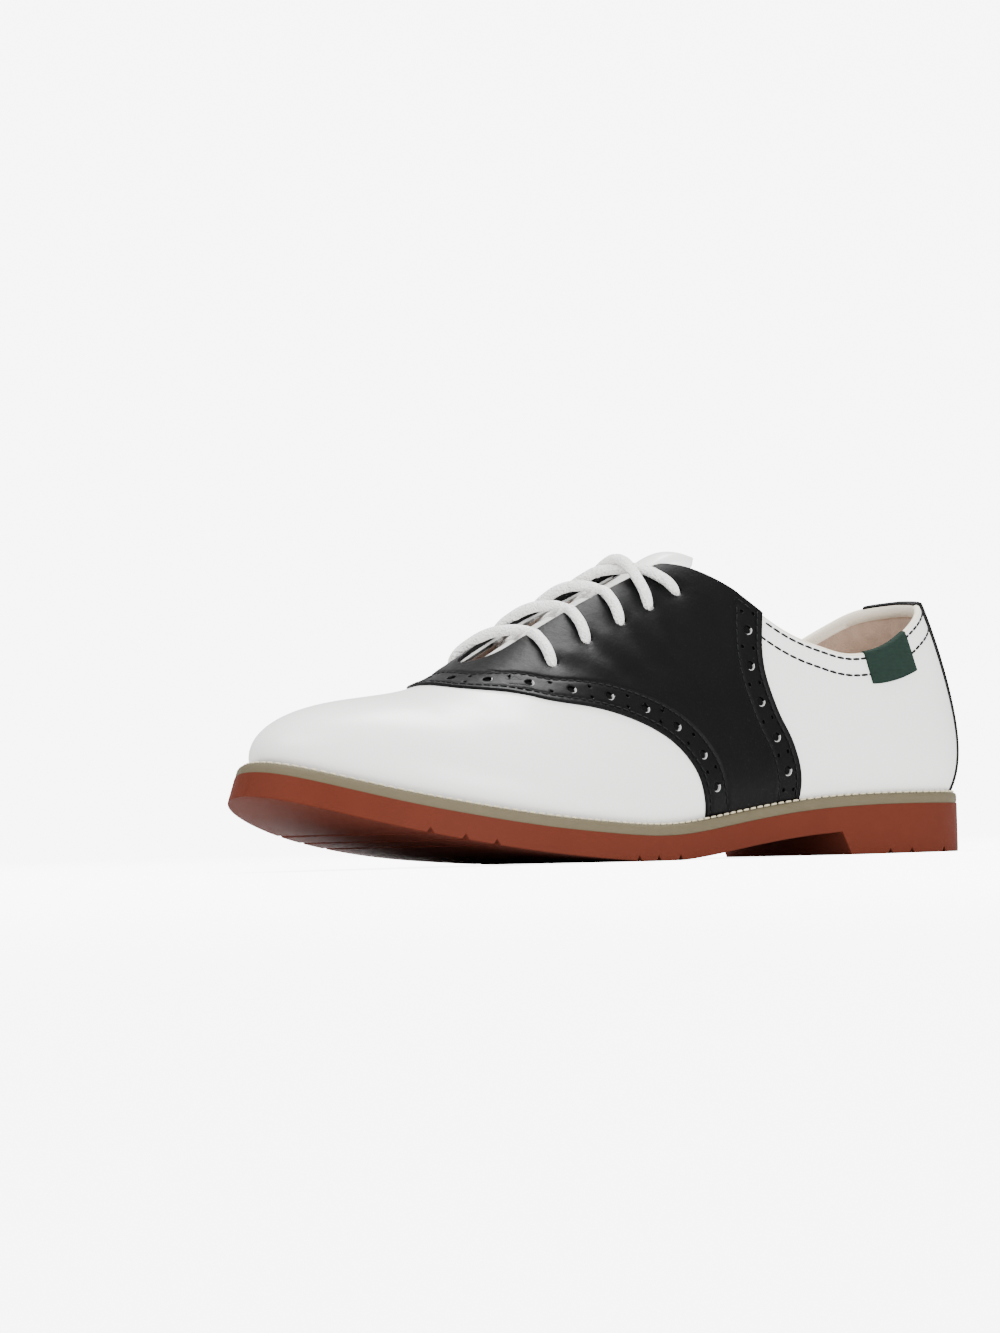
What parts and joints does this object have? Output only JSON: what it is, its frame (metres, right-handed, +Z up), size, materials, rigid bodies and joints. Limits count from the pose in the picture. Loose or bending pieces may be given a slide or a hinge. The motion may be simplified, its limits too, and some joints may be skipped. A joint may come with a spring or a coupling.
{
  "type": "saddle shoe",
  "caption": "Low lace-up saddle shoe for the left foot: a dark saddle panel and heel strip over a light upper, on a stitched welt and a low heeled rubber sole.",
  "frame": {"origin": "on the floor under the centre of the shoe's bounding box", "axes": "+Z up, toe towards -Y and heel towards +Y, +X towards the outer (lateral) side of this left shoe"},
  "size_m": [0.0948, 0.2748, 0.0992],
  "materials": {
    "rubber_brick": "matt brick-red moulded rubber",
    "welt_khaki": "matt khaki welt strip with pale lockstitch",
    "leather_white": "smooth off-white leather, semi-gloss",
    "leather_black": "black perforated leather, satin",
    "footbed_tan": "matt tan leather sock",
    "lace_white": "round woven white cord",
    "tab_green": "plain dark green woven tape"
  },
  "bodies": {
    "root": {"outsole": "rubber_brick", "welt": "welt_khaki", "insole": "footbed_tan", "upper": "leather_white", "saddle": "leather_black", "back_strip": "leather_black", "collar_tab": "tab_green", "tongue": "leather_white", "lace_crossing_1": "lace_white", "lace_crossing_2": "lace_white", "lace_crossing_3": "lace_white", "lace_crossing_4": "lace_white"}
  },
  "joints": []
}
